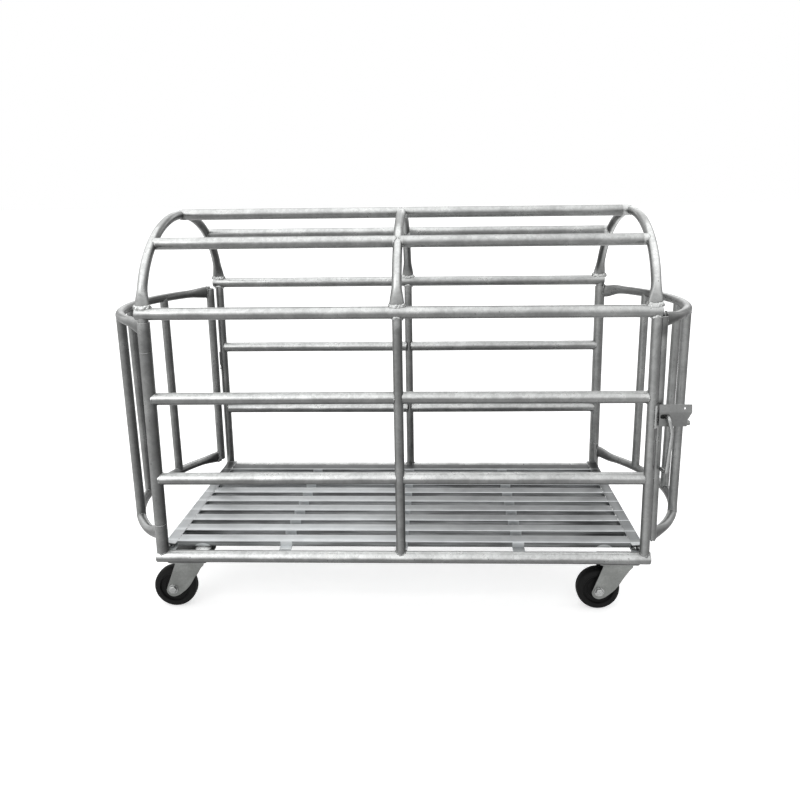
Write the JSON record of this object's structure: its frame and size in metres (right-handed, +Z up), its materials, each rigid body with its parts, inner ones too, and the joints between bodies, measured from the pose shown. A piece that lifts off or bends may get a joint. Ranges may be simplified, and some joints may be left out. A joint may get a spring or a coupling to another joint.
{
  "type": "pig catching cage",
  "caption": "Long galvanised tube cage with an arched barred roof, a slatted floor, a bulged swing door at each end and swivel casters underneath.",
  "frame": {"origin": "on the floor, under the middle of the cage", "axes": "+X to the right end as the picture shows it, -Y to the front, +Z up"},
  "size_m": [1.7562, 0.7024, 1.161],
  "materials": {
    "galvanised_tube": "hot-dip galvanised, mottled silver",
    "galvanised_deck": "hot-dip galvanised, pale and glossy",
    "galvanised_latch": "hot-dip galvanised, dull",
    "zinc_plated_caster": "zinc plated, flat grey",
    "black_rubber": "matt black"
  },
  "bodies": {
    "frame": {"bottom_rail_front": "galvanised_tube", "upper_rail_front": "galvanised_tube", "bottom_rail_rear": "galvanised_tube", "upper_rail_rear": "galvanised_tube", "lower_rail_front_left": "galvanised_tube", "lower_rail_front_right": "galvanised_tube", "lower_rail_rear_left": "galvanised_tube", "lower_rail_rear_right": "galvanised_tube", "middle_rail_front_left": "galvanised_tube", "middle_rail_front_right": "galvanised_tube", "middle_rail_rear_left": "galvanised_tube", "middle_rail_rear_right": "galvanised_tube", "post_front_left": "galvanised_tube", "post_front_middle": "galvanised_tube", "post_front_right": "galvanised_tube", "post_rear_left": "galvanised_tube", "post_rear_middle": "galvanised_tube", "post_rear_right": "galvanised_tube", "roof_arch_left": "galvanised_tube", "roof_arch_middle": "galvanised_tube", "roof_arch_right": "galvanised_tube", "ridge_rail_left": "galvanised_tube", "ridge_rail_right": "galvanised_tube", "shoulder_rail_front_left": "galvanised_tube", "shoulder_rail_front_right": "galvanised_tube", "shoulder_rail_rear_left": "galvanised_tube", "shoulder_rail_rear_right": "galvanised_tube", "floor_grate": "galvanised_deck", "caster_front_left_plate": "zinc_plated_caster", "caster_rear_left_plate": "zinc_plated_caster", "caster_front_right_plate": "zinc_plated_caster", "caster_rear_right_plate": "zinc_plated_caster"},
    "left_door": {"left_door_top_hoop": "galvanised_tube", "left_door_bottom_hoop": "galvanised_tube", "left_door_bar_1": "galvanised_tube", "left_door_bar_2": "galvanised_tube", "left_door_bar_3": "galvanised_tube", "left_door_end_tube": "galvanised_tube"},
    "right_door": {"right_door_top_hoop": "galvanised_tube", "right_door_bottom_hoop": "galvanised_tube", "right_door_bar_1": "galvanised_tube", "right_door_bar_2": "galvanised_tube", "right_door_bar_3": "galvanised_tube", "right_door_end_tube": "galvanised_tube", "right_latch_plate": "galvanised_latch"},
    "right_latch": {"right_latch_bolt": "galvanised_latch"},
    "caster_front_left_swivel": {"caster_front_left_fork": "zinc_plated_caster"},
    "caster_front_left_roller": {"caster_front_left_wheel": "black_rubber", "caster_front_left_axle": "zinc_plated_caster"},
    "caster_rear_left_swivel": {"caster_rear_left_fork": "zinc_plated_caster"},
    "caster_rear_left_roller": {"caster_rear_left_wheel": "black_rubber", "caster_rear_left_axle": "zinc_plated_caster"},
    "caster_front_right_swivel": {"caster_front_right_fork": "zinc_plated_caster"},
    "caster_front_right_roller": {"caster_front_right_wheel": "black_rubber", "caster_front_right_axle": "zinc_plated_caster"},
    "caster_rear_right_swivel": {"caster_rear_right_fork": "zinc_plated_caster"},
    "caster_rear_right_roller": {"caster_rear_right_wheel": "black_rubber", "caster_rear_right_axle": "zinc_plated_caster"}
  },
  "joints": [
    {"name": "left_door_swing", "type": "hinge", "parent": "frame", "child": "left_door", "pos_m": [-0.69, -0.33, 0.5], "axis": [0, 0, 1], "range_deg": [0, 180]},
    {"name": "right_door_swing", "type": "hinge", "parent": "frame", "child": "right_door", "pos_m": [0.69, 0.33, 0.5], "axis": [0, 0, 1], "range_deg": [0, 180]},
    {"name": "right_latch_slide", "type": "slide", "parent": "right_door", "child": "right_latch", "axis": [-1, 0, 0], "range_m": [0, 0.013]},
    {"name": "caster_front_left_swivel_turn", "type": "hinge", "parent": "frame", "child": "caster_front_left_swivel", "pos_m": [-0.623, -0.29, 0.14], "axis": [0, 0, 1], "continuous": true},
    {"name": "caster_front_left_wheel_spin", "type": "hinge", "parent": "caster_front_left_swivel", "child": "caster_front_left_roller", "pos_m": [-0.675, -0.29, 0.0625], "axis": [0, 1, 0], "continuous": true},
    {"name": "caster_rear_left_swivel_turn", "type": "hinge", "parent": "frame", "child": "caster_rear_left_swivel", "pos_m": [-0.623, 0.29, 0.14], "axis": [0, 0, 1], "continuous": true},
    {"name": "caster_rear_left_wheel_spin", "type": "hinge", "parent": "caster_rear_left_swivel", "child": "caster_rear_left_roller", "pos_m": [-0.675, 0.29, 0.0625], "axis": [0, 1, 0], "continuous": true},
    {"name": "caster_front_right_swivel_turn", "type": "hinge", "parent": "frame", "child": "caster_front_right_swivel", "pos_m": [0.623, -0.29, 0.14], "axis": [0, 0, 1], "continuous": true},
    {"name": "caster_front_right_wheel_spin", "type": "hinge", "parent": "caster_front_right_swivel", "child": "caster_front_right_roller", "pos_m": [0.571, -0.29, 0.0625], "axis": [0, 1, 0], "continuous": true},
    {"name": "caster_rear_right_swivel_turn", "type": "hinge", "parent": "frame", "child": "caster_rear_right_swivel", "pos_m": [0.623, 0.29, 0.14], "axis": [0, 0, 1], "continuous": true},
    {"name": "caster_rear_right_wheel_spin", "type": "hinge", "parent": "caster_rear_right_swivel", "child": "caster_rear_right_roller", "pos_m": [0.571, 0.29, 0.0625], "axis": [0, 1, 0], "continuous": true}
  ]
}
